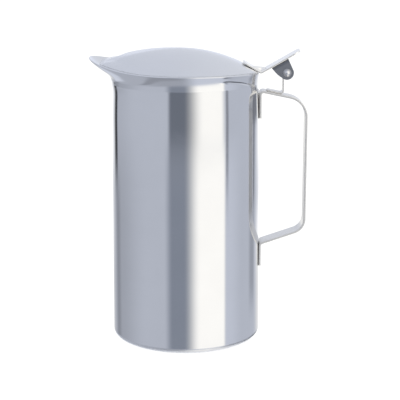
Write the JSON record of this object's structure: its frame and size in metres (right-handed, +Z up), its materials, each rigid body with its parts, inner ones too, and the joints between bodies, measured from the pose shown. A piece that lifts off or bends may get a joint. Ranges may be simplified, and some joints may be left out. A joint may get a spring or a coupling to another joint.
{
  "type": "hot milk jug with hinged lid",
  "caption": "Tall cylindrical stainless steel jug with a pouring spout, strap handle and domed lid that hinges open under a thumb lever, for serving hot milk.",
  "frame": {"origin": "centre of the flat bottom that the jug stands on, on the cup's axis", "axes": "+Z up along the cup's axis, +X from the axis towards the handle, -X towards the spout, +Y across; the hinge axis runs along Y"},
  "size_m": [0.1487, 0.1022, 0.1996],
  "materials": {
    "satin_steel": "fine circumferential satin on drawn stainless sheet",
    "strip_steel": "tumbled semi-bright stainless strip",
    "bright_steel": "bright polished rivet"
  },
  "bodies": {
    "jug": {"jug_body": "satin_steel", "handle_strap": "strip_steel", "hinge_bracket": "strip_steel"},
    "lid": {"lid_dome": "satin_steel", "thumb_lever": "strip_steel", "lid_clevis": "strip_steel", "hinge_pin": "bright_steel"}
  },
  "joints": [
    {"name": "lid_hinge", "type": "hinge", "parent": "jug", "child": "lid", "pos_m": [0.0683, 0, 0.1834], "axis": [0, 1, 0], "range_deg": [0, 125]}
  ]
}
